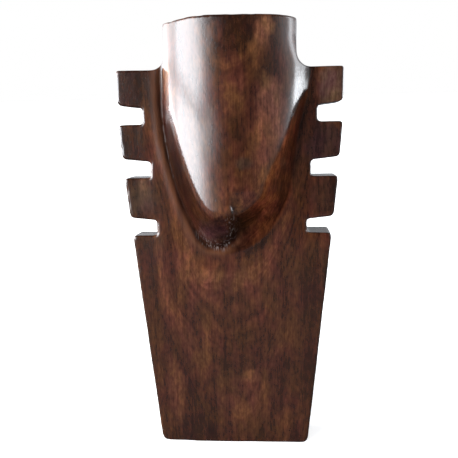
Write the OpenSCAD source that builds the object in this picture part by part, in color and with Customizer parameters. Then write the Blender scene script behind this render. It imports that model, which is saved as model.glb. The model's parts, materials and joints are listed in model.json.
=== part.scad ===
// Carved wooden necklace bust on a hinged easel strut.
//
// The bust is one board with a half-round neck and a V-shaped chest carved on its front, and three
// notches sawn into each side to hang chains and bracelets from. It leans back on a wooden strut,
// which folds flat against its back on a brass stop hinge.
//
// Frame: millimetres, +Z up, X across the shoulders, the carved front towards -Y. The origin is the
// middle of the bust's foot, on the table. The bust and its half of the hinge are drawn upright in the
// board's own frame, with Y = 0 in the middle of the board's thickness, and then leaned back.

/* [Bust] */
// Height of the bust, along its lean
bust_h = 363; // [350:1:380]
// Width of the foot
foot_w = 129; // [120:1:136]
// Width across the shoulders
shoulder_w = 189; // [186:1:200]
// Thickness of the board behind the carving
board_t = 32; // [28:1:36]
// Angle that the bust leans back from upright
lean = 7; // [5:1:9]

/* [Neck and chest] */
// Width of the neck
neck_w = 109; // [100:1:114]
// Sideways offset of the neck, which was cut by eye
neck_x = 1.3; // [-2:0.1:2]
// How far the neck and the chest stand out from the board
chest_d = 29; // [22:1:32]
// Height of the shoulders
shoulder_h = 324.5; // [322:0.5:332]
// Radius of the fillet where the neck meets the shoulders
neck_fillet_r = 11; // [6:1:14]
// Height of the lowest point of the chest
chest_tip_h = 172; // [165:1:185]
// Sideways offset of that point, which was cut by eye
chest_tip_x = -8; // [-10:1:10]
// Steepness of the cut round the chest, as rise over run
flank_slope = 1.2; // [1.1:0.05:1.6]

/* [Notches] */
// Clear height of a notch at its inner end
notch_gap = 13.5; // [11:0.5:15]
// Extra height of a notch at its mouth
notch_flare = 2.5; // [0:0.5:3]

/* [Strut] */
// Height of the hinge on the bust
hinge_h = 215; // [195:1:225]
// Angle between the bust and the strut when it stands
open_angle = 21; // [18:1:26]
// Thickness of the strut
strut_t = 14; // [13:1:18]
// Width of the strut at its head
strut_head_w = 56; // [54:1:66]
// Width of the strut at its foot
strut_foot_w = 84; // [70:1:100]

/* [Hinge] */
// Length of the hinge along its pin
hinge_w = 50; // [46:1:54]
// Height of each leaf from the pin's axis
leaf_h = 24; // [22:1:26]
// Thickness of each leaf
leaf_t = 1.2; // [1:0.1:1.4]
// Outer radius of the barrel
barrel_r = 2.5; // [2.3:0.1:2.8]
// Radius of the pin
pin_r = 1.25; // [1:0.05:1.3]

/* [Hidden] */

// Finishes
WOOD = [0.27, 0.15, 0.10];
WOOD_BACK = [0.24, 0.14, 0.10];
BRASS = [0.72, 0.56, 0.28];
STEEL = [0.62, 0.60, 0.56];

// Outline of the board. The side is set out as half widths at these heights, from the foot up, and each
// notch as the height of its floor and the half width at its inner end.
waist_h = 185;
side = [[0, foot_w / 2], [waist_h, 85], [235, 90.3], [280, 93.7], [shoulder_h, shoulder_w / 2]];
notches = [[waist_h, 64], [235, 67.5], [280, 73]];
foot_corner_r = 6;
ledge_corner_r = 2;
tooth_corner_r = 4;
notch_corner_r = 1.5;
shoulder_corner_r = 1.5;
neck_corner_r = 1;
arc_steps = 5;

// Carved surface. The chest's edge is a parabola, fuller on its right side near the tip, and the cut round
// it is less steep at the tip.
// The half-round neck runs out straight from its seam, which moves inwards as the neck widens into the
// shoulders over a height of flare_h: seam_top is where it is on the neck, and seam_left and seam_right are
// how far it moves, as parts of the half width. k_crest and k_fillet round the edges where surfaces meet.
parabola = 28;
right_fullness = 0.45;
tip_ease = 0.35;
tip_half_w = 15;
seam_top = 0.99;
seam_left = 0.03;
seam_right = 0.12;
flare_h = 26;
flare_low = 4;
k_crest = 4;
k_fillet = 6;
grid = 4;
carved_half_w = 72;
carved_low_h = 152;
blank_margin = 12;

// Hinge
fit_gap = 0.05;
leaf_gap = 0.1;
axis_off = barrel_r + leaf_gap;
knuckles = 5;
knuckle_gap = 0.3;
knuckle_clear_r = barrel_r + 0.5;
bore_r = pin_r + fit_gap;
pin_head_r = 2;
pin_head_t = 1;
lug_w = 6;
lug_t = 1.6;
lug_h = 8;
screw_places = [[-17, 17], [0, 12], [17, 17]];

// Screws
screw_r = 1.6;
screw_head_r = 3.2;
screw_head_h = 1.6;
screw_tip_h = 3;
screw_point_r = 0.3;
slot_l = 3.4;
slot_w = 0.8;
slot_h = 1.1;
head_room = 1;
bust_screw_l = 18;
strut_screw_l = 12;

// Strut
strut_corner_r = 3;
strut_arch_w = 46;
strut_arch_h = 9;
strut_head_gap = 1;

axis_y = board_t / 2 + axis_off;
hinge_world = [0, axis_y * cos(lean) + hinge_h * sin(lean), hinge_h * cos(lean) - axis_y * sin(lean)];
strut_tilt = open_angle - lean;
strut_l = hinge_world[2] / cos(strut_tilt);
big = 600;
$fn = 48;

// ---- Outlines with rounded corners ----

function unit(v) = v / norm(v);
function turn(a) = a > 180 ? a - 360 : a < -180 ? a + 360 : a;

// The arc that rounds the corner b, between its neighbours a and c
function corner_arc(a, b, c, r) =
    let (to_a = unit(a - b), to_c = unit(c - b),
         half = acos(to_a * to_c) / 2,
         centre = b + unit(to_a + to_c) * r / sin(half),
         from = b + to_a * r / tan(half) - centre,
         to = b + to_c * r / tan(half) - centre,
         start = atan2(from[1], from[0]),
         sweep = turn(atan2(to[1], to[0]) - start))
    [for (k = [0:arc_steps]) let (a = start + sweep * k / arc_steps) centre + r * [cos(a), sin(a)]];

// Corners are [x, y, radius], and a radius of 0 stays sharp
function rounded(corners) =
    let (n = len(corners), at = function (i) [corners[(i + n) % n][0], corners[(i + n) % n][1]])
    [for (i = [0:n - 1]) each corners[i][2] > 0
        ? corner_arc(at(i - 1), at(i), at(i + 1), corners[i][2]) : [at(i)]];

// The same corners on the other side of the board, in the opposite order
function mirrored(corners) =
    [for (i = [len(corners) - 1:-1:0]) let (c = corners[i]) [-c[0], c[1], c[2]]];

function side_x(h) = lookup(h, side);

// The notch's floor from the side inwards, then its ceiling outwards
function notch_corners(n, floor_r) =
    let (top = n[0] + notch_gap)
    [[side_x(n[0]), n[0], floor_r], [n[1], n[0], notch_corner_r], [n[1], top, notch_corner_r],
     [side_x(top + notch_flare), top + notch_flare, tooth_corner_r]];

// Height of the foot's front edge, which the lean tips below the table
foot_z = -board_t / 2 * tan(lean);

// One side of the board, from its foot to the top of a neck whose edge is at neck_edge
function side_corners(neck_edge) = concat(
    [[foot_w / 2, foot_z, foot_corner_r]],
    [for (i = [0:len(notches) - 1]) each notch_corners(notches[i], i == 0 ? ledge_corner_r : notch_corner_r)],
    [[shoulder_w / 2, shoulder_h, shoulder_corner_r], [neck_edge, shoulder_h, neck_fillet_r],
     [neck_edge, bust_h, neck_corner_r]]);

module board_outline() {
    polygon(rounded(concat(side_corners(neck_w / 2 + neck_x), mirrored(side_corners(neck_w / 2 - neck_x)))));
}

// ---- The carved front ----

// Smaller or larger of two values, blended over a band of width k where they are close
function soft_min(a, b, k) = min(a, b) - pow(max(k - abs(a - b), 0), 2) / (4 * k);
function soft_max(a, b, k) = max(a, b) + pow(max(k - abs(a - b), 0), 2) / (4 * k);

// How far the neck has widened at this height, from 0 on the neck to 1 at the shoulders
function flare(h) =
    let (t = min(max((shoulder_h - flare_low + flare_h - h) / flare_h, 0), 1))
    t * t * (3 - 2 * t);

// Section of the neck: half round as far as its seam, and straight beyond it
function neck_depth(x, h) =
    let (off = abs(x - neck_x) / (neck_w / 2),
         seam = seam_top - flare(h) * (x > neck_x ? seam_right : seam_left),
         at_seam = sqrt(1 - seam * seam))
    chest_d * (off < seam ? sqrt(1 - off * off) : at_seam - (off - seam) * seam / at_seam);

// How far up the chest this height is, from 1 at its tip to 0 at the shoulders
function near_tip(h) = max(0, 1 - (h - chest_tip_h) / (shoulder_h - chest_tip_h));

// Distance from the middle line of the chest, which drifts sideways towards its tip
function off_middle(x, h) = x - chest_tip_x * near_tip(h);

// Depth of the cut round the chest: the distance inside the chest's edge, times the slope there
function flank_depth(off, h) =
    let (squeeze = off > 0 ? 1 - right_fullness * near_tip(h) : 1,
         wide = off * squeeze,
         inset = (h - chest_tip_h - wide * wide / parabola) / sqrt(1 + pow(2 * wide * squeeze / parabola, 2)))
    inset * flank_slope * (1 - tip_ease / (1 + pow(off / tip_half_w, 2)));

function carved_depth(x, h) =
    soft_max(soft_min(neck_depth(x, h), flank_depth(off_middle(x, h), h), k_crest), 0, k_fillet);

// A block whose front face is the carved surface: a fine grid over the chest, one wide cell beyond it
module carved_blank() {
    edge_x = shoulder_w / 2 + blank_margin;
    xs = concat([-edge_x], [for (x = [-carved_half_w:grid:carved_half_w]) x], [edge_x]);
    steps = ceil((bust_h - carved_low_h) / grid);
    zs = concat([-blank_margin], [for (k = [0:steps]) carved_low_h + (bust_h - carved_low_h) * k / steps]);
    nx = len(xs);
    nz = len(zs);
    front = [for (z = zs, x = xs) [x, -board_t / 2 - carved_depth(x, z), z]];
    back = [for (z = [zs[0], bust_h], x = xs) [x, board_t / 2, z]];
    low = nx * nz;
    top = low + nx;
    last = (nz - 1) * nx;
    faces = concat(
        [for (j = [0:nz - 2], i = [0:nx - 2]) let (a = j * nx + i)
            each [[a, a + nx, a + nx + 1], [a, a + nx + 1, a + 1]]],
        [for (i = [0:nx - 2]) each [
            [low + i, low + i + 1, top + i + 1, top + i],
            [low + i, i, i + 1, low + i + 1],
            [top + i, top + i + 1, last + i + 1, last + i]]],
        [concat([low, top], [for (j = [nz - 1:-1:0]) j * nx])],
        [concat([top + nx - 1, low + nx - 1], [for (j = [0:nz - 1]) j * nx + nx - 1])]);
    polyhedron(concat(front, back), faces, convexity = 6);
}

// ---- Placing ----

module leaned() {
    rotate([-lean, 0, 0]) children();
}

// Frame of the hinge's fixed half: the origin is on the pin's axis, and Y points away from the board
module on_bust_hinge() {
    leaned() translate([0, axis_y, hinge_h]) children();
}

// Frame of the strut: the same axis, with the strut hanging along -Z
module on_strut_hinge() {
    translate(hinge_world) rotate([strut_tilt, 0, 0]) children();
}

module below_table() {
    translate([0, 0, -big / 2]) cube(big, center = true);
}

// ---- Screws ----

// A countersunk wood screw along -Z, its head flush with Z = 0. grow makes the hole that it sits in.
module screw_body(length, grow = 0) {
    translate([0, 0, -screw_head_h])
        cylinder(r1 = screw_r + grow, r2 = screw_head_r + grow, h = screw_head_h);
    translate([0, 0, screw_tip_h - length]) cylinder(r = screw_r + grow, h = length - screw_tip_h);
    translate([0, 0, -length - grow])
        cylinder(r1 = screw_point_r, r2 = screw_r + grow, h = screw_tip_h + grow);
    if (grow > 0) cylinder(r = screw_head_r + grow, h = head_room);
}

module screw(length) {
    difference() {
        screw_body(length);
        for (a = [0, 90]) rotate([0, 0, a]) cube([slot_l, slot_w, 2 * slot_h], center = true);
    }
}

// Puts a child at each screw place of the bust's leaf, its head facing away from the board
module bust_screw_places() {
    for (p = screw_places) translate([p[0], leaf_t - axis_off, p[1]]) rotate([-90, 0, 0]) children();
}

// Puts a child at each screw place of the strut's leaf, its head facing the board
module strut_screw_places() {
    for (p = screw_places) translate([p[0], -axis_off, -p[1]]) rotate([90, 0, 0]) children();
}

// ---- Hinge ----

module across(x0, x1, r) {
    translate([x0, 0, 0]) rotate([0, 90, 0]) cylinder(r = r, h = x1 - x0);
}

function knuckle_start(i) = -hinge_w / 2 + hinge_w / knuckles * i + knuckle_gap / 2;
function knuckle_end(i) = -hinge_w / 2 + hinge_w / knuckles * (i + 1) - knuckle_gap / 2;

// A leaf standing up from the pin's axis, with the knuckles named in own and room for those in other
module leaf(own, other) {
    difference() {
        union() {
            translate([-hinge_w / 2, -axis_off, 0]) cube([hinge_w, leaf_t, leaf_h]);
            for (i = own) across(knuckle_start(i), knuckle_end(i), barrel_r);
        }
        for (i = other)
            across(knuckle_start(i) - knuckle_gap, knuckle_end(i) + knuckle_gap, knuckle_clear_r);
    }
}

module stop_lugs(own) {
    for (i = own)
        translate([(knuckle_start(i) + knuckle_end(i) - lug_w) / 2, leaf_t + fit_gap - axis_off, 0])
            cube([lug_w, lug_t, lug_h]);
}

module pin_bore() {
    across(-hinge_w, hinge_w, bore_r);
}

// ---- Nodes ----

module bust_panel() {
    color(WOOD) difference() {
        leaned() intersection() {
            carved_blank();
            translate([0, big / 2, 0]) rotate([90, 0, 0]) linear_extrude(big) board_outline();
        }
        below_table();
        on_bust_hinge() bust_screw_places() screw_body(bust_screw_l, fit_gap);
    }
}

module easel_strut() {
    head_z = -barrel_r - strut_head_gap;
    toe_z = -strut_l - strut_t;
    arch_r = (pow(strut_arch_w / 2, 2) + pow(strut_arch_h, 2)) / (2 * strut_arch_h);
    half = [[strut_foot_w / 2, toe_z, 0], [strut_head_w / 2, head_z, strut_corner_r]];
    color(WOOD_BACK) difference() {
        on_strut_hinge() difference() {
            translate([0, leaf_t - axis_off + strut_t, 0]) rotate([90, 0, 0])
                linear_extrude(strut_t) polygon(rounded(concat(half, mirrored(half))));
            translate([0, 0, -strut_l - arch_r + strut_arch_h]) rotate([90, 0, 0])
                cylinder(r = arch_r, h = big, center = true, $fn = 96);
            strut_screw_places() screw_body(strut_screw_l, fit_gap);
        }
        below_table();
    }
}

module hinge_leaf_bust() {
    color(BRASS) on_bust_hinge() difference() {
        leaf([0, 2, 4], [1, 3]);
        pin_bore();
        bust_screw_places() screw_body(bust_screw_l, fit_gap);
    }
}

// The lugs on this leaf meet the other leaf when the strut is open, and stop it there
module hinge_leaf_strut() {
    color(BRASS) on_strut_hinge() difference() {
        union() {
            mirror([0, 0, 1]) leaf([1, 3], [0, 2, 4]);
            rotate([-open_angle, 0, 0]) stop_lugs([1, 3]);
        }
        pin_bore();
        strut_screw_places() screw_body(strut_screw_l, fit_gap);
    }
}

module hinge_pin() {
    end = hinge_w / 2 + fit_gap;
    color(STEEL) on_bust_hinge() {
        across(-end, end, pin_r);
        across(end, end + pin_head_t, pin_head_r);
        across(-end - pin_head_t, -end, pin_head_r);
    }
}

module bust_leaf_screws() {
    color(BRASS) on_bust_hinge() bust_screw_places() screw(bust_screw_l);
}

module strut_leaf_screws() {
    color(BRASS) on_strut_hinge() strut_screw_places() screw(strut_screw_l);
}

bust_panel();
easel_strut();
hinge_leaf_bust();
hinge_leaf_strut();
hinge_pin();
bust_leaf_screws();
strut_leaf_screws();
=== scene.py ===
"""Looks for the carved necklace bust: a hand-carved varnished board on a strut with a brass stop hinge.

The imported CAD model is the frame, in metres, +Z up, with the carved front towards -Y. The bust is
worked on in the board's own frame, which is the row frame turned upright by the bust's lean: the
board's thickness runs along Y with 0 in its middle, and its height along Z.
"""

import json
import math

import bmesh
import bpy
import numpy as np
from mathutils import Matrix, Vector


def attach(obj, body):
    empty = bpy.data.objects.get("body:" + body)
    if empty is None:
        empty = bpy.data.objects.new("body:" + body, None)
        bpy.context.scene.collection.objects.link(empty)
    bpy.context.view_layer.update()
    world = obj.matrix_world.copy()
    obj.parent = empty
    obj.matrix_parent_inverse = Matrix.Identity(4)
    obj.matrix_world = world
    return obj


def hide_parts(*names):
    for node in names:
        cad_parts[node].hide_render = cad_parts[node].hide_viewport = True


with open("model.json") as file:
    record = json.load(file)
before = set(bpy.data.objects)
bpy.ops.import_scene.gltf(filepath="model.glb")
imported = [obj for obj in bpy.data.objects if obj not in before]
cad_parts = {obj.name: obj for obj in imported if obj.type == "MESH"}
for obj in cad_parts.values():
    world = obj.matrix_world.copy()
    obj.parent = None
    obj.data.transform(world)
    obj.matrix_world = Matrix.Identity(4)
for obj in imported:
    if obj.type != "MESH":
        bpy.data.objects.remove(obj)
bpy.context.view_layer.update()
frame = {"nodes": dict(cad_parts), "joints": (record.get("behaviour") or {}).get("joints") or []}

MM = 0.001
scene = bpy.context.scene
scene.view_settings.view_transform = "Standard"

# ---- Places shared by the pieces ----

# The hinge's axis comes from the frame. The lean, the board's thickness and the strut's tilt are the same
# as in part.scad.
AXIS = Vector(frame["joints"][0]["pos_m"])
BOARD_T = 32.0
LEAN = math.radians(7.0)
STRUT_TILT = math.radians(14.0)
TO_BOARD = Matrix.Rotation(LEAN, 4, "X")
FROM_BOARD = Matrix.Rotation(-LEAN, 4, "X")
TO_STRUT = Matrix.Rotation(-STRUT_TILT, 4, "X") @ Matrix.Translation(-AXIS)

# Size of the remeshed faces, in millimetres, and how many times they are smoothed.
BUST_FACE, BUST_SMOOTH = 1.05, 3
CARVED_FACE, CARVED_SMOOTH = 1.0, 1
STRUT_FACE, STRUT_SMOOTH = 0.9, 10


# ---- Mesh helpers ----

def coords(mesh):
    """The mesh's points as rows, in metres."""
    co = np.empty(len(mesh.vertices) * 3, np.float32)
    mesh.vertices.foreach_get("co", co)
    return co.reshape(-1, 3).astype(np.float64)


def set_coords(mesh, co):
    mesh.vertices.foreach_set("co", np.ascontiguousarray(co, np.float32).ravel())
    mesh.update()


def normals(mesh):
    n = np.empty(len(mesh.vertices) * 3, np.float32)
    mesh.vertices.foreach_get("normal", n)
    return n.reshape(-1, 3).astype(np.float64)


def new_object(name, mesh):
    obj = bpy.data.objects.new(name, mesh)
    scene.collection.objects.link(obj)
    return obj


def apply_modifiers(obj):
    """Bakes the object's modifiers into its mesh."""
    graph = bpy.context.evaluated_depsgraph_get()
    baked = bpy.data.meshes.new_from_object(obj.evaluated_get(graph))
    obj.modifiers.clear()
    old = obj.data
    obj.data = baked
    bpy.data.meshes.remove(old)


def shade_smooth(mesh):
    mesh.polygons.foreach_set("use_smooth", np.ones(len(mesh.polygons), bool))
    mesh.update()


def remesh(obj, voxel, smooth_steps):
    """Even, fine faces all over the object, smoothed a little."""
    even = obj.modifiers.new("even", "REMESH")
    even.mode = "VOXEL"
    even.voxel_size = voxel
    smooth = obj.modifiers.new("smooth", "SMOOTH")
    smooth.factor = 0.5
    smooth.iterations = smooth_steps
    apply_modifiers(obj)


def remeshed_copy(node, name, voxel, smooth_steps, transform):
    """A fine copy of a CAD node in another frame, with its edges eased as if by sanding."""
    mesh = frame["nodes"][node].data.copy()
    mesh.transform(transform)
    mesh.materials.clear()
    obj = new_object(name, mesh)
    remesh(obj, voxel, smooth_steps)
    return obj


def smoothstep(a, b, x):
    t = np.clip((x - a) / (b - a), 0, 1)
    return t * t * (3 - 2 * t)


# ---- Material helpers ----

class Graph:
    """A material whose nodes are added by short calls. Each call returns an output socket."""

    def __init__(self, name):
        self.material = bpy.data.materials.new(name)
        self.material.use_nodes = True
        self.tree = self.material.node_tree
        self.shader = self.tree.nodes["Principled BSDF"]

    def set(self, socket, value):
        if isinstance(value, bpy.types.NodeSocket):
            self.tree.links.new(value, socket)
        elif value is not None:
            socket.default_value = value

    def node(self, kind, inputs, output=0, **settings):
        node = self.tree.nodes.new(kind)
        for key, value in settings.items():
            setattr(node, key, value)
        for key, value in inputs.items():
            self.set(node.inputs[key], value)
        return node.outputs[output]

    def math(self, op, a, b=None, c=None):
        return self.node("ShaderNodeMath", {0: a, 1: b, 2: c}, operation=op)

    def add(self, a, b):
        return self.math("ADD", a, b)

    def mul(self, a, b):
        return self.math("MULTIPLY", a, b)

    def scaled(self, vector, scale):
        return self.node("ShaderNodeVectorMath", {0: vector, 1: scale}, operation="MULTIPLY")

    def noise(self, vector, scale, detail=2.0, rough=0.5):
        """Smooth noise from 0 to 1."""
        inputs = {"Vector": vector, "Scale": scale, "Detail": detail, "Roughness": rough}
        return self.node("ShaderNodeTexNoise", inputs)

    def bands(self, w, detail=2.0):
        """Noise along one line, which gives layers of uneven thickness."""
        inputs = {"W": w, "Scale": 1.0, "Detail": detail}
        return self.node("ShaderNodeTexNoise", inputs, noise_dimensions="1D")

    def field(self, name):
        """A value stored on the mesh's points."""
        return self.node("ShaderNodeAttribute", {}, output="Fac", attribute_name=name)

    def remap(self, value, low, high, to_low=0.0, to_high=1.0):
        inputs = {"Value": value, "From Min": low, "From Max": high, "To Min": to_low, "To Max": to_high}
        return self.node("ShaderNodeMapRange", inputs, interpolation_type="SMOOTHSTEP")

    def ramp(self, value, stops):
        """A colour or grey level along a line of (position, colour) stops."""
        node = self.tree.nodes.new("ShaderNodeValToRGB")
        elements = node.color_ramp.elements
        low, high = stops[0][0], stops[-1][0]
        elements[0].color = (*stops[0][1], 1)
        elements[1].color = (*stops[-1][1], 1)
        for position, colour in stops[1:-1]:
            elements.new((position - low) / (high - low)).color = (*colour, 1)
        inputs = {"Value": value, "From Min": low, "From Max": high}
        self.set(node.inputs["Fac"], self.node("ShaderNodeMapRange", inputs))
        return node.outputs["Color"]

    def blend(self, factor, a, b, mode="MIX"):
        """Colour a, blended towards b."""
        node = self.tree.nodes.new("ShaderNodeMix")
        node.data_type = "RGBA"
        node.blend_type = mode
        self.set(node.inputs[0], factor)
        self.set(node.inputs[6], (*a, 1) if isinstance(a, tuple) else a)
        self.set(node.inputs[7], (*b, 1) if isinstance(b, tuple) else b)
        return node.outputs[2]

    def bump(self, height, strength, distance, normal=None):
        inputs = {"Height": height, "Strength": strength, "Distance": distance, "Normal": normal}
        return self.node("ShaderNodeBump", inputs)

    def finish(self, **inputs):
        for key, value in inputs.items():
            self.set(self.shader.inputs[key.replace("_", " ")], value)
        return self.material


class WorldGraph(Graph):
    """The same short calls for the world's nodes."""

    def __init__(self, world):
        self.tree = world.node_tree
        self.background = self.tree.nodes["Background"]


# ---- Wood ----

DARK = (0.0150, 0.0050, 0.0024)
UMBER = (0.021, 0.0068, 0.0032)
BROWN = (0.031, 0.0100, 0.0045)
WARM = (0.048, 0.0160, 0.0072)
ORANGE = (0.080, 0.0290, 0.0130)
AMBER = (0.135, 0.0560, 0.0270)
WORN = (0.095, 0.0420, 0.0230)
SMOKE = (0.030, 0.0150, 0.0100)
TAUPE = (0.058, 0.0300, 0.0200)
PLUM = (0.021, 0.0085, 0.0080)
RUST = (0.045, 0.0120, 0.0055)
# Light grey of the specks on the scratches near the gouge's tip: painted glints.
SCRATCH_GLINT = (0.22, 0.185, 0.175)
# What the stain's colour is multiplied by on the chest's cut flanks: darker on the left, and brighter and
# redder on the right as painted fill light.
CUT_LEFT_TINT = (0.52, 0.50, 0.52)
RIGHT_FLANK_FILL_LIGHT = (3.0, 2.4, 2.0)
# The shader's specular level for the stained wood itself, under its varnish.
STAIN_SHEEN = 0.015

# Growth layers lie almost flat in the board and arch across it, so its face shows nested arches.
RING_ARCH = 0.034
RING_DEPTH = 4.3
# Colours of the layers from the foot up, along the middle of the board's face, in millimetres.
LAYERS = [(-250, BROWN), (-150, UMBER), (-90, BROWN), (-40, BROWN), (-8, UMBER), (14, BROWN), (34, WARM),
          (58, BROWN), (80, BROWN), (104, BROWN), (122, WARM), (136, WARM), (146, BROWN), (157, DARK),
          (180, UMBER), (232, UMBER), (270, BROWN), (305, WARM), (340, WARM), (375, BROWN), (405, BROWN),
          (425, WARM), (441, BROWN), (451, WARM), (459, UMBER), (480, DARK), (505, UMBER)]

# Local figure in the wood, with painted shade on the chest's tip: middle (x, height), half width, half
# height, colour and strength.
FIGURE_AND_SHADE = [
    (72, 141, 14, 20, DARK, 0.8),
    (13, 247, 9, 5, SMOKE, 0.9),
    # Darker purple over the chest's tip: painted shade where the tip turns down and away from the light.
    (-12, 190, 15, 14, PLUM, 0.9),
    (-8, 161, 26, 9, RUST, 0.6),
    (-50.5, 316, 4, 14, AMBER, 0.9),
    (12, 343, 10, 10, DARK, 0.5),
    (31, 354, 7, 7, AMBER, 0.7),
    (28, 344, 5, 9, AMBER, 0.55),
    (21, 334, 5, 8, ORANGE, 0.6),
    (-9, 349, 6, 8, ORANGE, 0.4),
    (33, 330, 7, 18, UMBER, 0.6),
    (9, 300, 8, 16, ORANGE, 0.25),
    (-50, 300, 5, 10, ORANGE, 0.6),
    (36, 287, 12, 28, AMBER, 0.9),
    (30, 262, 12, 28, ORANGE, 0.8),
    (44, 300, 4, 24, UMBER, 0.4),
    (33, 213, 9, 10, ORANGE, 0.4),
    (-82, 310, 22, 26, DARK, 1.0),
    (-80, 263, 15, 18, DARK, 0.4),
    (-78, 218, 14, 16, TAUPE, 0.6),
    (80, 262, 20, 20, PLUM, 0.9),
    (78, 218, 14, 18, PLUM, 0.6),
    (70, 215, 12, 17, UMBER, 0.45),
    (84, 308, 12, 18, TAUPE, 0.9),
    (66, 290, 7, 26, DARK, 0.6),
    (-18, 150, 13, 6, ORANGE, 0.5),
    (12, 151, 9, 13, ORANGE, 0.5),
    (-43, 159, 6, 16, ORANGE, 0.4),
    (-14, 114, 7, 8, UMBER, 0.6),
    (16, 86, 9, 14, UMBER, 0.5),
    (15, 60, 9, 6, ORANGE, 0.5),
    (-50, 45, 9, 30, ORANGE, 0.5),
    (-24, 80, 5, 26, ORANGE, 0.35),
    (60, 95, 15, 70, UMBER, 0.7),
    (0, 6, 75, 12, DARK, 0.4),
]


def board_position(g, turn):
    """Position in millimetres, in a frame turned by this angle about X."""
    place = g.node("ShaderNodeTexCoord", {}, output="Object")
    inputs = {"Vector": place, "Rotation": (turn, 0, 0), "Scale": (1 / MM, 1 / MM, 1 / MM)}
    return g.node("ShaderNodeMapping", inputs)


def centred(g, value, size):
    """Noise from 0 to 1, moved to between -size / 2 and size / 2."""
    return g.mul(g.math("SUBTRACT", value, 0.5), size)


def split(g, vector):
    """The vector's X, Y and Z."""
    node = g.tree.nodes.new("ShaderNodeSeparateXYZ")
    g.set(node.inputs[0], vector)
    return node.outputs


def growth_layer(g, p, x, y, z):
    """Height at which this point's growth layer meets the middle of the board's face."""
    drift = centred(g, g.noise(g.scaled(p, (1 / 60, 1 / 60, 1 / 100)), 1.0, 1.0), 60)
    ripple = centred(g, g.noise(g.scaled(p, (1 / 14, 1 / 14, 1 / 60)), 1.0, 2.0), 22)
    arch = g.mul(g.math("POWER", g.math("ABSOLUTE", x), 2.0), -RING_ARCH)
    depth = g.mul(g.add(y, BOARD_T / 2), -RING_DEPTH)
    return g.add(g.add(g.add(z, arch), depth), g.add(drift, ripple))


def tint(g, colour, value, low, high, dark, light):
    """Multiplies the colour by dark where value is low and by light where it is high."""
    shade = g.ramp(value, [(low, dark), (high, light)])
    return g.blend(1.0, colour, shade, "MULTIPLY")


def add_figure_and_shade(g, p, colour):
    """Paints the local figure into the wood, with ragged edges, and the painted shade on the chest's tip."""
    ragged = g.noise(g.scaled(p, (1 / 9, 1 / 9, 1 / 16)), 1.0, 3.0, 0.6)
    x, y, z = split(g, p)
    for middle_x, middle_h, half_w, half_h, shade, amount in FIGURE_AND_SHADE:
        across = g.math("POWER", g.mul(g.add(x, -middle_x), 1 / half_w), 2.0)
        up = g.math("POWER", g.mul(g.add(z, -middle_h), 1 / half_h), 2.0)
        near = g.add(g.add(across, up), centred(g, ragged, 3.2))
        colour = g.blend(g.remap(near, 1.6, 0.0, 0.0, amount), colour, shade)
    return colour


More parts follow.
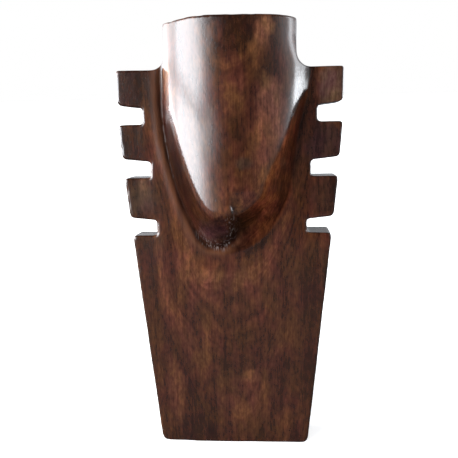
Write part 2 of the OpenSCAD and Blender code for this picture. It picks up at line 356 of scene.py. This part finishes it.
def make_wood_finish(g, p, colour, wear, gloss):
    """Adds streaks, fibres, blotches, pores, worn edges, tool marks and varnish to a wood's colours, with
    painted shade in the gouge, painted fill light on the chest's right flank and painted glints on its
    scratches.
    """
    streaks = g.noise(g.scaled(p, (1 / 5, 1 / 5, 1 / 90)), 1.0, 3.0)
    colour = tint(g, colour, streaks, 0.32, 0.68, (0.72, 0.69, 0.68), (1.34, 1.36, 1.38))
    fibres = g.noise(g.scaled(p, (1 / 0.8, 1 / 0.8, 1 / 24)), 1.0, 2.0)
    colour = tint(g, colour, fibres, 0.3, 0.7, (0.77, 0.76, 0.76), (1.25, 1.25, 1.25))
    blotches = g.noise(g.scaled(p, (1 / 30, 1 / 30, 1 / 50)), 1.0, 3.0, 0.6)
    colour = tint(g, colour, blotches, 0.35, 0.65, (0.70, 0.71, 0.74), (1.32, 1.28, 1.24))
    hue = g.noise(g.scaled(p, (1 / 20, 1 / 20, 1 / 38)), 1.3, 3.0, 0.6)
    colour = tint(g, colour, hue, 0.38, 0.62, (0.97, 0.83, 1.02), (1.10, 1.20, 0.95))
    mottle = g.noise(g.scaled(p, (1 / 2.6, 1 / 2.6, 1 / 6)), 1.0, 2.0, 0.6)
    colour = tint(g, colour, mottle, 0.35, 0.65, (0.70, 0.69, 0.69), (1.32, 1.32, 1.32))

    pores = g.remap(g.noise(g.scaled(p, (1 / 0.5, 1 / 0.5, 1 / 4)), 1.0, 1.0), 0.36, 0.26)
    colour = g.blend(g.mul(pores, 0.6), colour, DARK)
    edges = g.remap(g.node("ShaderNodeNewGeometry", {}, output="Pointiness"), 0.53, 0.62)
    colour = g.blend(g.mul(g.mul(edges, mottle), wear), colour, WORN)

    # Stain and varnish lie differently where the board was cut: duller on the left of the chest, and lighter
    # on the lip beside the gouged line. The left flank's colour is also made darker, and the right flank's is
    # painted brighter and redder, as painted fill light from the right.
    colour = g.blend(g.mul(g.field("lip"), g.remap(streaks, 0.3, 0.6, 0.3, 0.8)), colour, ORANGE)
    cut_left, right_flank_fill_light = g.field("cut_left"), g.field("right_flank_fill_light")
    colour = g.blend(cut_left, colour, CUT_LEFT_TINT, "MULTIPLY")
    # Painted fill light: the right flank's colour is brightened and reddened.
    colour = g.blend(right_flank_fill_light, colour, RIGHT_FLANK_FILL_LIGHT, "MULTIPLY")
    # Painted shade: the gouged groove's colour is darkened.
    colour = g.blend(g.mul(g.field("gouged"), 0.75), colour, DARK)
    # Light specks on the scratches along the gouge near the tip: the scratches are cut in the surface, and
    # their glints are painted in.
    scratches = g.remap(g.noise(g.scaled(p, (1, 1 / 2.5, 1 / 8)), 1.0, 1.0), 0.54, 0.70)
    colour = g.blend(g.mul(g.field("scratch_glints"), g.mul(scratches, 0.48)), colour, SCRATCH_GLINT)
    gloss = g.mul(g.remap(g.field("dull"), 0.1, 0.8, 1.0, 0.08), gloss)

    bumpy = g.bump(g.mul(pores, -1.0), 1.0, 0.00006)
    bumpy = g.bump(fibres, 0.35, 0.00008, bumpy)
    orange_peel = g.noise(g.scaled(p, (1 / 1.5, 1 / 1.5, 1 / 2.6)), 1.0, 2.0)
    varnish = g.bump(orange_peel, 0.5, 0.00010)
    varnish = g.bump(g.mul(pores, -1.0), 0.5, 0.00002, varnish)
    rough = g.remap(blotches, 0.3, 0.7, 0.5, 0.42)
    scuff = g.mul(g.field("scuff"), g.remap(orange_peel, 0.35, 0.6, 0.5, 1.0))
    gloss = g.mul(g.math("SUBTRACT", 1.0, g.mul(scuff, 0.35)), gloss)
    dull = g.add(g.remap(mottle, 0.3, 0.7, 0.16, 0.11), g.mul(scuff, 0.08))
    return g.finish(Base_Color=colour, Roughness=rough, Normal=bumpy, Specular_IOR_Level=STAIN_SHEEN,
                    Coat_Weight=gloss, Coat_Roughness=dull, Coat_Normal=varnish)


def make_bust_wood():
    """Dark stained, varnished wood whose layers show as nested arches on the board's face."""
    g = Graph("stained_wood")
    p = board_position(g, LEAN)
    x, y, z = split(g, p)
    layer = growth_layer(g, p, x, y, z)
    colour = g.ramp(layer, LAYERS)
    rings = g.bands(g.mul(layer, 1 / 7), 3.0)
    colour = tint(g, colour, rings, 0.32, 0.68, (0.82, 0.80, 0.79), (1.20, 1.21, 1.22))
    return make_wood_finish(g, p, add_figure_and_shade(g, p, colour), 0.7, 0.9)


def make_strut_wood():
    """The same stained wood for the strut, sawn so that its layers run straight along it."""
    g = Graph("strut_wood")
    p = board_position(g, -STRUT_TILT)
    x, y, z = split(g, p)
    drift = centred(g, g.noise(g.scaled(p, (1 / 40, 1 / 40, 1 / 160)), 1.0, 1.0), 30)
    layer = g.add(g.add(x, g.mul(y, 0.6)), drift)
    rings = g.bands(g.mul(layer, 1 / 5), 3.0)
    colour = g.ramp(rings, [(0.25, DARK), (0.42, UMBER), (0.55, BROWN), (0.72, WARM)])
    return make_wood_finish(g, p, colour, 0.8, 0.5)


# ---- Metals ----

def make_metal(name, clean, tarnish, roughness):
    """Metal with brushed lines along X, small scratches, and darker tarnish in patches."""
    g = Graph(name)
    p = board_position(g, 0)
    brushed = g.noise(g.scaled(p, (1 / 9, 1 / 0.12, 1 / 0.12)), 1.0, 3.0, 0.6)
    patches = g.noise(g.scaled(p, (1 / 5, 1 / 5, 1 / 5)), 1.0, 5.0, 0.65)
    specks = g.noise(g.scaled(p, (1 / 0.7, 1 / 0.7, 1 / 0.7)), 1.0, 2.0, 0.6)
    hollows = g.remap(g.node("ShaderNodeNewGeometry", {}, output="Pointiness"), 0.5, 0.44)
    dirt = g.math("MAXIMUM", g.remap(patches, 0.46, 0.72), g.mul(hollows, 0.7))
    dirt = g.math("MAXIMUM", dirt, g.mul(g.remap(specks, 0.62, 0.75), 0.8))
    colour = g.blend(dirt, clean, tarnish)
    colour = tint(g, colour, brushed, 0.3, 0.7, (0.88, 0.88, 0.88), (1.12, 1.12, 1.12))
    rough = g.add(g.mul(dirt, 0.28), g.remap(brushed, 0.3, 0.7, roughness, roughness + 0.1))
    bumpy = g.bump(brushed, 0.3, 0.00003)
    bumpy = g.bump(g.mul(specks, -1.0), 0.25, 0.00005, bumpy)
    return g.finish(Base_Color=colour, Metallic=1.0, Roughness=rough, Normal=bumpy)


# ---- Carved surface, in millimetres in the board's frame ----

# These are part.scad's own values, so that facet_depth gives the CAD's surface.
NECK_R, NECK_X, CHEST_D = 54.5, 1.3, 29.0
SHOULDER_H, BUST_H = 324.5, 363.0
TIP_H, TIP_X = 172.0, -8.0
FLANK_SLOPE, PARABOLA, TIP_EASE, TIP_HALF_W = 1.2, 28.0, 0.35, 15.0
SEAM_TOP, SEAM_LEFT, SEAM_RIGHT = 0.99, 0.03, 0.12
FLARE_H, FLARE_LOW, RIGHT_FULLNESS = 26.0, 4.0, 0.45
K_CREST, K_FILLET = 4.0, 6.0
# Where part.scad's surface has its points.
GRID_X = np.concatenate(([-106.5], np.arange(-72, 73, 4.0), [106.5]))
GRID_H = np.concatenate(([-12], np.linspace(152, BUST_H, 54)))


def soft_min(a, b, k):
    return np.minimum(a, b) - np.maximum(k - np.abs(a - b), 0) ** 2 / (4 * k)


def soft_max(a, b, k):
    return np.maximum(a, b) + np.maximum(k - np.abs(a - b), 0) ** 2 / (4 * k)


def flare(h):
    """0 on the neck and 1 below it, where it has widened into the shoulders."""
    return smoothstep(SHOULDER_H - FLARE_LOW + FLARE_H, SHOULDER_H - FLARE_LOW, h)


def neck_depth(x, h, seam_right=SEAM_RIGHT):
    """The half-round neck, which runs out straight from its seam."""
    off = np.abs(x - NECK_X) / NECK_R
    seam = SEAM_TOP - flare(h) * np.where(x > NECK_X, seam_right, SEAM_LEFT)
    at_seam = np.sqrt(1 - seam * seam)
    inside = np.sqrt(np.clip(1 - off * off, 0, 1))
    return CHEST_D * np.where(off < seam, inside, at_seam - (off - seam) * seam / at_seam)


def flank_depth(x, h, parabola=PARABOLA, slope=FLANK_SLOPE):
    """The cut round the V of the chest, whose foot is a parabola that leans towards the tip."""
    near_tip = np.maximum(0, 1 - (h - TIP_H) / (SHOULDER_H - TIP_H))
    off = x - TIP_X * near_tip
    squeeze = np.where(off > 0, 1 - RIGHT_FULLNESS * near_tip, 1)
    wide = off * squeeze
    inset = (h - TIP_H - wide ** 2 / parabola) / np.sqrt(1 + (2 * wide * squeeze / parabola) ** 2)
    return inset * slope * (1 - TIP_EASE / (1 + (off / TIP_HALF_W) ** 2))


def carved_depth(x, h):
    """How far the CAD's carved surface stands out from the board."""
    return soft_max(soft_min(neck_depth(x, h), flank_depth(x, h), K_CREST), 0, K_FILLET)


def facet_depth(x, h):
    """The same surface as the CAD's coarse facets have it."""
    knots = carved_depth(*np.meshgrid(GRID_X, GRID_H, indexing="ij"))
    i = np.clip(np.searchsorted(GRID_X, x) - 1, 0, len(GRID_X) - 2)
    j = np.clip(np.searchsorted(GRID_H, h) - 1, 0, len(GRID_H) - 2)
    u = np.clip((x - GRID_X[i]) / (GRID_X[i + 1] - GRID_X[i]), 0, 1)
    v = np.clip((h - GRID_H[j]) / (GRID_H[j + 1] - GRID_H[j]), 0, 1)
    a, b, c, d = knots[i, j], knots[i + 1, j], knots[i, j + 1], knots[i + 1, j + 1]
    upper = a + v * (c - a) + u * (d - c)
    lower = a + u * (b - a) + v * (d - b)
    return np.where(v > u, upper, lower)


def lattice_noise(p, wavelength, seed):
    """Smooth noise from -1 to 1 with the given wavelengths in millimetres."""
    size = 32
    table = np.random.default_rng(seed).uniform(-1, 1, (size, size, size))
    q = p / np.asarray(wavelength, float)
    cell = np.floor(q).astype(int)
    t = q - cell
    t = t * t * (3 - 2 * t)
    total = np.zeros(len(p))
    for corner in np.ndindex(2, 2, 2):
        index = (cell + corner) % size
        weight = np.prod(np.where(corner, t, 1 - t), axis=1)
        total += weight * table[index[:, 0], index[:, 1], index[:, 2]]
    return total


# The gouged line round the chest: down its left side, under its tip and up the tip's right side.
GOUGE = [(-58.5, 328), (-58, 317), (-57, 290), (-55, 271), (-51.2, 252.6), (-45.5, 228.4), (-39.6, 212),
         (-33.2, 195.6), (-27.6, 184), (-19.2, 176.5), (-8, 175.6), (-0.2, 180.7), (2.4, 191.3),
         (2.7, 203.8), (0.3, 212)]
# A scuffed streak in the varnish on the left of the neck.
SCUFF = [(-47, 326), (-36, 308), (-21, 286)]
# The cut along the chest's right side: height, where its foot is, and how steep it is.
RIGHT_CUT = [(228, 48.2, 1.2), (244, 51.4, 1.35), (260, 54.3, 1.6), (275, 56.7, 1.86), (291, 60.5, 1.86),
             (306, 64.8, 1.86), (322, 67.0, 1.86)]
# The upright wall of the step to the right of the tip, as heights and how far across it is at each.
STEP_WALL_H = [178, 190, 204, 214]
STEP_WALL_X = [-1, 2.3, 2.6, 0]
# How the finished front differs from part.scad's: a steeper cut on the left, whose parabola is narrower at
# the top and wider low down, and a fuller neck with less of a seam on the right.
LEFT_PARABOLA, LEFT_PARABOLA_LOW = 26, 4
LEFT_SLOPE = 1.45
FULLER, FULLER_SEAM = 0.08, 0.08


def path_distance(x, h, path):
    """Signed distance to a path, positive on its left, and how far along it the nearest point is (0 to 1)."""
    best = np.full(len(x), 1e9)
    side = np.ones(len(x))
    along = np.zeros(len(x))
    for k in range(len(path) - 1):
        (ax, ah), (bx, bh) = path[k], path[k + 1]
        dx, dh = bx - ax, bh - ah
        t = np.clip(((x - ax) * dx + (h - ah) * dh) / (dx * dx + dh * dh), 0, 1)
        ex, eh = x - ax - t * dx, h - ah - t * dh
        dist = np.hypot(ex, eh)
        near = dist < best
        best = np.where(near, dist, best)
        side = np.where(near, np.sign(dx * eh - dh * ex), side)
        along = np.where(near, (k + t) / (len(path) - 1), along)
    return best * side, along


def chest_cut(x, h, left):
    """The finished cut round the chest, which is negative outside its foot."""
    parabola = PARABOLA * (1 - left) + (LEFT_PARABOLA + LEFT_PARABOLA_LOW * smoothstep(300, 220, h)) * left
    flank = flank_depth(x, h, parabola, FLANK_SLOPE * (1 - left) + LEFT_SLOPE * left)
    heights, feet, slopes = zip(*RIGHT_CUT)
    right_cut = (np.interp(h, heights, feet) - x) * np.interp(h, heights, slopes)
    upper_right = smoothstep(212, 236, h) * smoothstep(5, 20, x)
    return flank * (1 - upper_right) + right_cut * upper_right


def tip_step(x, h, depth):
    """How much more is cut away to the right of the chest's tip."""
    wall_x = np.interp(h, STEP_WALL_H, STEP_WALL_X)
    step = smoothstep(0, 4.0, x - wall_x) * smoothstep(176, 184, h) * (1 - smoothstep(194, 226, h))
    return np.minimum(9.0, 0.62 * depth) * step * (1 - smoothstep(22, 44, x))


def hand_carved(x, h):
    """The finished surface, and how strong each of the tools' marks, and the painted light and shade that go
    with them, is at each point.

    Its edges are cut differently on each side, a line is gouged round it, and there is a step beside the tip.
    """
    left = smoothstep(18, -18, x - TIP_X)
    # The right side bulges a little just under the shoulder.
    bulge = smoothstep(255, 316, h) * (1 - smoothstep(324, 350, h)) * (x > NECK_X)
    neck = neck_depth(NECK_X + (x - NECK_X) / (1 + FULLER * bulge), h, FULLER_SEAM)
    flank = chest_cut(x, h, left)
    depth = soft_max(soft_min(neck, flank, 1.5 + 3 * left), 0, 4 - 2 * left)
    on_flank = smoothstep(-1, 2, neck - flank) * smoothstep(-5, -1, flank)
    chiselled = smoothstep(-1, 3, neck - flank) * smoothstep(0.5, 3, depth)
    depth -= tip_step(x, h, depth)

    dist, along = path_distance(x, h, GOUGE)
    fade = smoothstep(0.02, 0.2, along) * (1 - smoothstep(0.9, 1.0, along))
    wide = 1.5 + 1.2 * smoothstep(0.5, 0.75, along)
    gouged = fade * np.exp(-(dist / wide) ** 2)
    lip = np.exp(-((dist + 5.5) / 3.0) ** 2) * (1 - smoothstep(0.75, 0.9, along))
    depth = depth - (0.8 + 1.2 * smoothstep(0.3, 0.7, along)) * gouged + 0.25 * fade * lip
    dull = np.exp(-((dist - 0.5) / 2.3) ** 2) * (1 - 0.75 * smoothstep(0.45, 0.6, along))
    near_tip = smoothstep(0.5, 0.62, along) * (1 - smoothstep(0.9, 1.0, along))
    marks = {"scuff": np.exp(-(path_distance(x, h, SCUFF)[0] / 6.5) ** 2),
             # Where the scratches near the tip get painted glints.
             "scratch_glints": np.exp(-((dist - 1) / 4.0) ** 2) * near_tip,
             "gouged": gouged,
             "chiselled": chiselled,
             "lip": lip,
             "dull": np.maximum(dull, 0.8 * on_flank),
             "cut_left": on_flank * smoothstep(4, -8, x) * smoothstep(188, 212, h),
             # Where the right flank gets its painted fill light.
             "right_flank_fill_light": on_flank * smoothstep(6, 30, x)}
    return depth, marks


# ---- The bust ----

def facing_front(co, n):
    """1 on the carved front, 0 on the sides and the back."""
    return smoothstep(0.0, 0.35, -n[:, 1]) * smoothstep(0, -8, co[:, 1])


# How far the two lowest ledges are raised, on the right only, and how much each rises towards the back.
RAISED_RIGHT, RISE_RIGHT, RISE_LEFT = 2.3, 0.6, -0.5
# How deep the back is scraped under the folded leaf, and how much higher the foot's left corner is cut.
HOLLOW, FOOT_CUT = 0.4, 1.2
SIDE_UNEVEN = 0.25


def carve_front(co, n):
    """Moves the front from the CAD's facets to the finished surface, with its tool marks."""
    x, y, h = co.T
    front = facing_front(co, n)
    depth, marks = hand_carved(x, h)
    wavy = 0.20 * lattice_noise(co, (19, 19, 34), 3) + 0.07 * lattice_noise(co, (8, 8, 15), 4)
    chisel = 0.13 * lattice_noise(co, (4, 4, 6), 9) + 0.10 * lattice_noise(co, (2, 2, 2.6), 10)
    scratches = 0.5 * marks["gouged"] * lattice_noise(co, (1.8, 1.8, 3.4), 8)
    roughness = wavy + marks["chiselled"] * chisel + scratches
    # Well inside the outline the finished surface is used as it is. Near the edges it is an offset from the
    # CAD's, so that the eased edges stay.
    inside = smoothstep(0, -3, np.abs(x) - np.interp(h, [317, 335], [61, 54]))
    exact = front * inside * smoothstep(361, 357, h)
    offset = y - front * (depth - facet_depth(x, h))
    co[:, 1] = (1 - exact) * offset - exact * (BOARD_T / 2 + depth) - front * roughness
    return front


def roughen_sides(co, front):
    """Makes the sawn sides slightly uneven."""
    sides = 1 - front
    co[:, 0] += sides * SIDE_UNEVEN * lattice_noise(co, (30, 14, 17), 5)
    co[:, 2] += sides * SIDE_UNEVEN * lattice_noise(co, (17, 14, 30), 6)


def wear_rim(co):
    """The left end of the neck's rim is worn lower, with small chips in it."""
    x, y, h = co.T
    rim = smoothstep(BUST_H - 9, BUST_H - 1, h)
    worn = smoothstep(-22, -50, x) * (1.6 + 0.8 * smoothstep(-8, -28, y))
    chips = 0.7 * np.maximum(0, lattice_noise(co, (5, 5, 5), 7))
    co[:, 2] -= rim * (worn + chips * smoothstep(-4, -22, y))


def tilt_ledges(co, n):
    """The lowest ledges were sawn a little out of square, the right one higher."""
    x, y, h = co.T
    ledge = smoothstep(9, 2, np.abs(h - 185)) * smoothstep(61, 64, np.abs(x)) * smoothstep(0.2, 0.6, n[:, 2])
    to_back = y / (BOARD_T / 2)
    co[:, 2] += ledge * np.where(x > 0, RAISED_RIGHT + RISE_RIGHT * to_back, RISE_LEFT * to_back)


def scrape_back(co, n):
    """The back is scraped slightly hollow where the strut's leaf folds against it."""
    x, y, h = co.T
    hollow = smoothstep(0.5, 0.9, n[:, 1]) * smoothstep(36, 30, np.abs(x)) * smoothstep(182, 188, h)
    co[:, 1] -= HOLLOW * hollow * smoothstep(218, 214, h)


def cut_foot(co):
    """The foot's left corner is cut a little higher."""
    x, y, h = co.T
    co[:, 2] += smoothstep(12, 2, h) * smoothstep(-10, -64, x) * FOOT_CUT * smoothstep(0, -16, y)


def store_marks(mesh):
    """Keeps the tools' marks and the masks of painted light and shade on the mesh's points, for the wood's
    material.
    """
    co = coords(mesh) / MM
    front = facing_front(co, normals(mesh))
    for name, values in hand_carved(co[:, 0], co[:, 2])[1].items():
        values = (front * values).astype(np.float32)
        mesh.attributes.new(name, "FLOAT", "POINT").data.foreach_set("value", values)


def make_bust():
    bust = remeshed_copy("bust_panel", "carved_bust", BUST_FACE * MM, BUST_SMOOTH, TO_BOARD)
    co = coords(bust.data) / MM
    n = normals(bust.data)
    front = carve_front(co, n)
    roughen_sides(co, front)
    wear_rim(co)
    tilt_ledges(co, n)
    scrape_back(co, n)
    cut_foot(co)
    set_coords(bust.data, co * MM)
    remesh(bust, CARVED_FACE * MM, CARVED_SMOOTH)
    mesh = bust.data
    store_marks(mesh)
    shade_smooth(mesh)
    mesh.transform(FROM_BOARD)
    mesh.materials.append(make_bust_wood())
    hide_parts("bust_panel")
    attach(bust, "bust")


# ---- The strut and its hinge ----

def make_strut():
    """The strut with hand-sanded edges and slightly uneven faces."""
    strut = remeshed_copy("easel_strut", "strut_board", STRUT_FACE * MM, STRUT_SMOOTH, TO_STRUT)
    mesh = strut.data
    co = coords(mesh) / MM
    n = normals(mesh)
    # It is left flat where the hinge's leaf lies on it.
    away = 1 - smoothstep(30, 20, np.abs(co[:, 0])) * smoothstep(-32, -26, co[:, 2])
    uneven = 0.18 * lattice_noise(co, (16, 16, 40), 11) + 0.06 * lattice_noise(co, (6, 6, 12), 12)
    co -= n * (np.abs(uneven) * away)[:, None]
    set_coords(mesh, co * MM)
    shade_smooth(mesh)
    mesh.transform(TO_STRUT.inverted())
    mesh.materials.append(make_strut_wood())
    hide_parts("easel_strut")
    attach(strut, "strut")


def finish_metal(node, material, bevel):
    """Gives a CAD node its metal, with its edges broken."""
    obj = frame["nodes"][node]
    for slot in obj.material_slots:
        slot.material = material
    edge = obj.modifiers.new("edge", "BEVEL")
    edge.width = bevel * MM
    edge.segments = 2
    edge.limit_method = "ANGLE"
    edge.angle_limit = math.radians(40)


make_bust()
make_strut()
brass = make_metal("hinge_brass", (0.62, 0.42, 0.17), (0.16, 0.085, 0.035), 0.24)
screw_brass = make_metal("screw_brass", (0.50, 0.29, 0.10), (0.12, 0.06, 0.025), 0.30)
steel = make_metal("pin_steel", (0.46, 0.45, 0.43), (0.12, 0.085, 0.065), 0.30)
finish_metal("hinge_leaf_bust", brass, 0.2)
finish_metal("hinge_leaf_strut", brass, 0.2)
finish_metal("hinge_pin", steel, 0.25)
finish_metal("bust_leaf_screws", screw_brass, 0.18)
finish_metal("strut_leaf_screws", screw_brass, 0.18)


# ---- Camera, lights and floor ----

SENSOR_W, LENS = 36, 52.35
# The camera's turns in the board's frame, and its place there in millimetres.
PITCH, YAW, ROLL = 8.4, 3.83, -1.05
CAMERA = (35.6, -576, 273.6)


def make_camera():
    """A camera a little above and to the right of the bust's middle, looking slightly down."""
    data = bpy.data.cameras.new("camera")
    data.sensor_width = SENSOR_W
    data.lens = LENS
    cam = new_object("camera", data)
    pitch, yaw, roll = math.radians(PITCH), math.radians(YAW), math.radians(ROLL)
    look = Vector((-math.sin(yaw) * math.cos(pitch), math.cos(yaw) * math.cos(pitch), -math.sin(pitch)))
    right = Vector((math.cos(yaw), math.sin(yaw), 0))
    up = right.cross(look)
    cam_right = math.cos(roll) * right + math.sin(roll) * up
    cam_up = -math.sin(roll) * right + math.cos(roll) * up
    axes = Matrix((cam_right, cam_up, -look)).transposed().to_4x4()
    axes.translation = Vector(CAMERA) * MM
    cam.matrix_world = FROM_BOARD @ axes
    scene.camera = cam


def make_floor():
    """A pale floor that looks nearly white to the camera but reflects less in the varnish."""
    mesh = bpy.data.meshes.new("floor")
    bm = bmesh.new()
    bmesh.ops.create_grid(bm, x_segments=1, y_segments=1, size=4)
    bm.to_mesh(mesh)
    bm.free()
    floor = new_object("floor", mesh)
    g = Graph("pale_floor")
    seen = g.node("ShaderNodeLightPath", {}, output="Is Camera Ray")
    base = g.blend(seen, (0.15, 0.15, 0.15), (0.75, 0.75, 0.75))
    mesh.materials.append(g.finish(Base_Color=base, Roughness=0.8, Specular_IOR_Level=0.1,
                                   Emission_Color=(1, 1, 1, 1), Emission_Strength=g.mul(seen, 0.72)))


# Brightness of the room round the bust at its own height. 0 degrees is in front of it, where the camera
# is, and 90 degrees is on its +X side. A long window lies on the left, and a narrow one far right.
ROOM = [(-180, 0.2), (-160, 1.0), (-146, 3), (-134, 8), (-124, 14), (-110, 20), (-88, 23), (-70, 24),
        (-56, 24), (-44, 23), (-37, 17), (-30, 8.5), (-24, 3.4), (-17, 0.8), (-10, 0.1), (0, 0.02),
        (15, 0.04), (30, 0.2), (50, 0.5), (64, 1.0), (74, 2.0), (83, 4.5), (90, 9), (98, 22), (107, 20),
        (114, 8), (130, 2.2), (150, 1.2), (180, 0.15)]
PEAK = 24.0


def make_world():
    """White behind the bust as the camera sees it, and softly lit windows for everything it reflects."""
    world = bpy.data.worlds.new("studio")
    scene.world = world
    world.use_nodes = True
    g = WorldGraph(world)
    x, y, z = split(g, g.node("ShaderNodeTexCoord", {}, output="Generated"))
    azimuth = g.mul(g.math("ARCTAN2", x, g.mul(y, -1.0)), 180 / math.pi)
    height = g.mul(g.math("ARCSINE", z), 180 / math.pi)
    windows = g.mul(g.ramp(azimuth, [(a, (v / PEAK,) * 3) for a, v in ROOM]), PEAK)
    on_right = g.remap(azimuth, 60, 70)
    bottom = g.remap(g.add(height, g.mul(on_right, 12)), -10, -5)
    top = g.remap(height, 42, 18)
    # The left window's far end is shaded above the height of the bust's middle, and the right one there too.
    shade = g.mul(g.remap(azimuth, -66, -80, 0.0, 0.45), g.remap(height, 0, 5))
    shade = g.add(shade, g.mul(g.remap(azimuth, 70, 84, 0.0, 0.6), g.remap(height, 1.5, 5.5)))
    windows = g.mul(windows, g.math("SUBTRACT", 1.0, shade))
    walls = g.remap(y, -0.2, 0.6, 0.03, 0.25)
    room = g.add(g.mul(windows, g.mul(bottom, top)), walls)
    seen = g.node("ShaderNodeLightPath", {}, output="Is Camera Ray")
    strength = g.add(g.mul(room, g.math("SUBTRACT", 1.0, seen)), seen)
    g.set(g.background.inputs["Strength"], strength)
    g.set(g.background.inputs["Color"], g.blend(seen, (0.96, 1.0, 1.05), (1.0, 1.0, 1.0)))


make_camera()
make_floor()
make_world()
